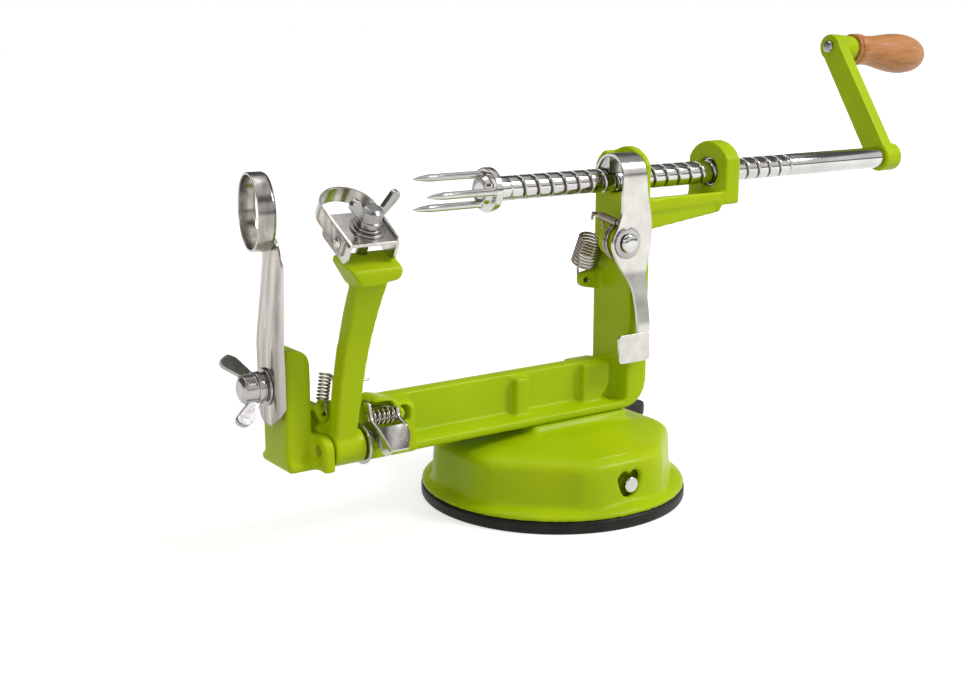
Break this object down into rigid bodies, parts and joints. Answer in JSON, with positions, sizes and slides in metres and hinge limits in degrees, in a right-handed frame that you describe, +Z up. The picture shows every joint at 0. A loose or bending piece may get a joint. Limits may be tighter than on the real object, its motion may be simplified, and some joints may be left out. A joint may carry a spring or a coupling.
{
  "type": "apple peeler",
  "caption": "Hand-cranked fruit peeler, corer and slicer: green cast frame with a chromed feed screw, wooden crank grip, hinged peel arm and a suction base.",
  "frame": {"origin": "centre of the suction pad's underside, on the table", "axes": "+X along the feed screw towards the crank, +Z up, -Y towards the peel arm"},
  "size_m": [0.3864, 0.1073, 0.1768],
  "materials": {
    "green_coat": "glossy lime-green coat on a zinc casting",
    "black_rubber": "smooth black rubber",
    "black_coat": "black coated steel strip",
    "black_plastic": "fine-grained black plastic",
    "polished_steel": "bright chrome plate",
    "bright_plate": "nickel-plated pressed sheet",
    "blade_steel": "stainless strip, brushed along its length",
    "zinc_steel": "bright zinc-plated steel",
    "spring_steel": "plated spring wire",
    "turned_wood": "lacquered turned hardwood"
  },
  "bodies": {
    "stand": {"frame": "green_coat", "base_cover": "green_coat", "cover_screws": "zinc_steel", "suction_pad": "black_rubber", "blade_stud": "zinc_steel", "arm_pivot_pin": "polished_steel", "arm_washer": "zinc_steel", "arm_spring": "spring_steel", "latch_pin": "polished_steel", "latch_spring": "spring_steel", "lever_screw": "polished_steel", "lever_spring": "spring_steel", "lever_coil": "spring_steel"},
    "suction_cam": {"cam_shaft": "polished_steel", "suction_lever": "black_coat", "lever_grip": "black_plastic"},
    "pad_lift": {"pad_stud": "zinc_steel"},
    "slicer": {"slicing_blade": "blade_steel"},
    "front_washers": {"blade_washers": "zinc_steel"},
    "front_nut": {"front_wing_nut": "zinc_steel"},
    "arm": {"peel_arm": "green_coat", "peel_bolt": "zinc_steel"},
    "blade_carrier": {"blade_holder": "bright_plate", "peel_blade": "blade_steel", "blade_rivets": "bright_plate"},
    "top_washers": {"peel_washers": "zinc_steel"},
    "top_nut": {"top_wing_nut": "zinc_steel"},
    "latch": {"arm_latch": "bright_plate"},
    "rocker": {"release_lever": "bright_plate", "half_nut": "zinc_steel", "lever_washer": "zinc_steel"},
    "bush": {"rear_bush": "zinc_steel"},
    "drive": {"feed_screw": "polished_steel", "fruit_fork": "polished_steel", "crank_arm": "green_coat", "handle_pin": "zinc_steel", "handle_collar": "turned_wood"},
    "grip": {"handle": "turned_wood"}
  },
  "joints": [
    {"name": "suction_cam_turn", "type": "hinge", "parent": "stand", "child": "suction_cam", "pos_m": [0.0025, 0.05, 0.014], "axis": [0, -1, 0], "range_deg": [0, 100]},
    {"name": "pad_lift_slide", "type": "slide", "parent": "stand", "child": "pad_lift", "axis": [0, 0, 1], "range_m": [-0.0025, 0], "deforming": ["suction_pad"]},
    {"name": "slicer_slide", "type": "slide", "parent": "stand", "child": "slicer", "axis": [0, 0, 1], "range_m": [-0.0015, 0.0015]},
    {"name": "front_nut_turn", "type": "hinge", "parent": "front_washers", "child": "front_nut", "pos_m": [-0.1275, -0.002, 0.0618], "axis": [-1, 0, 0], "range_deg": [0, 1080]},
    {"name": "front_washers_slide", "type": "slide", "parent": "stand", "child": "front_washers", "axis": [-1, 0, 0], "range_m": [0, 0.0024]},
    {"name": "arm_swing", "type": "hinge", "parent": "stand", "child": "arm", "pos_m": [-0.1025, -0.0124, 0.0386], "axis": [1, 0, 0], "range_deg": [0, 45], "stiffness_Nm_per_rad": 0.12, "springref_deg": -34.38, "deforming": ["arm_spring"]},
    {"name": "blade_carrier_slide", "type": "slide", "parent": "arm", "child": "blade_carrier", "axis": [0, 0.8829, 0.4695], "range_m": [-0.0015, 0.0015]},
    {"name": "top_nut_turn", "type": "hinge", "parent": "top_washers", "child": "top_nut", "pos_m": [-0.1, -0.02988, 0.11743], "axis": [0, -0.4695, 0.8829], "range_deg": [0, 1080]},
    {"name": "top_washers_slide", "type": "slide", "parent": "arm", "child": "top_washers", "axis": [0, -0.4695, 0.8829], "range_m": [0, 0.0024]},
    {"name": "latch_turn", "type": "hinge", "parent": "stand", "child": "latch", "pos_m": [-0.0865, -0.0134, 0.0476], "axis": [1, 0, 0], "range_deg": [0, 15], "stiffness_Nm_per_rad": 0.02, "springref_deg": -17.19, "deforming": ["latch_spring"]},
    {"name": "rocker_turn", "type": "hinge", "parent": "stand", "child": "rocker", "pos_m": [0.025, -0.0115, 0.0993], "axis": [1, 0, 0], "range_deg": [0, 3.5], "stiffness_Nm_per_rad": 0.4, "springref_deg": -11.46, "deforming": ["lever_spring", "lever_coil"]},
    {"name": "screw_turn", "type": "hinge", "parent": "stand", "child": "bush", "pos_m": [0.0825, 0, 0.1225], "axis": [1, 0, 0], "range_deg": [-5040, 2520]},
    {"name": "screw_feed", "type": "slide", "parent": "bush", "child": "drive", "axis": [1, 0, 0], "range_m": [-0.0897, 0.0449]},
    {"name": "handle_spin", "type": "hinge", "parent": "drive", "child": "grip", "pos_m": [0.183, 0.03221, 0.17098], "axis": [0.9968, 0, -0.0802], "continuous": true}
  ],
  "couplings": [
    {"joint": "pad_lift_slide", "follows": "suction_cam_turn", "m_per_rad": -0.0014324},
    {"joint": "front_nut_turn", "follows": "front_washers_slide", "rad_per_m": 7854},
    {"joint": "top_nut_turn", "follows": "top_washers_slide", "rad_per_m": 7854},
    {"joint": "screw_feed", "follows": "screw_turn", "m_per_rad": 0.0010186}
  ]
}
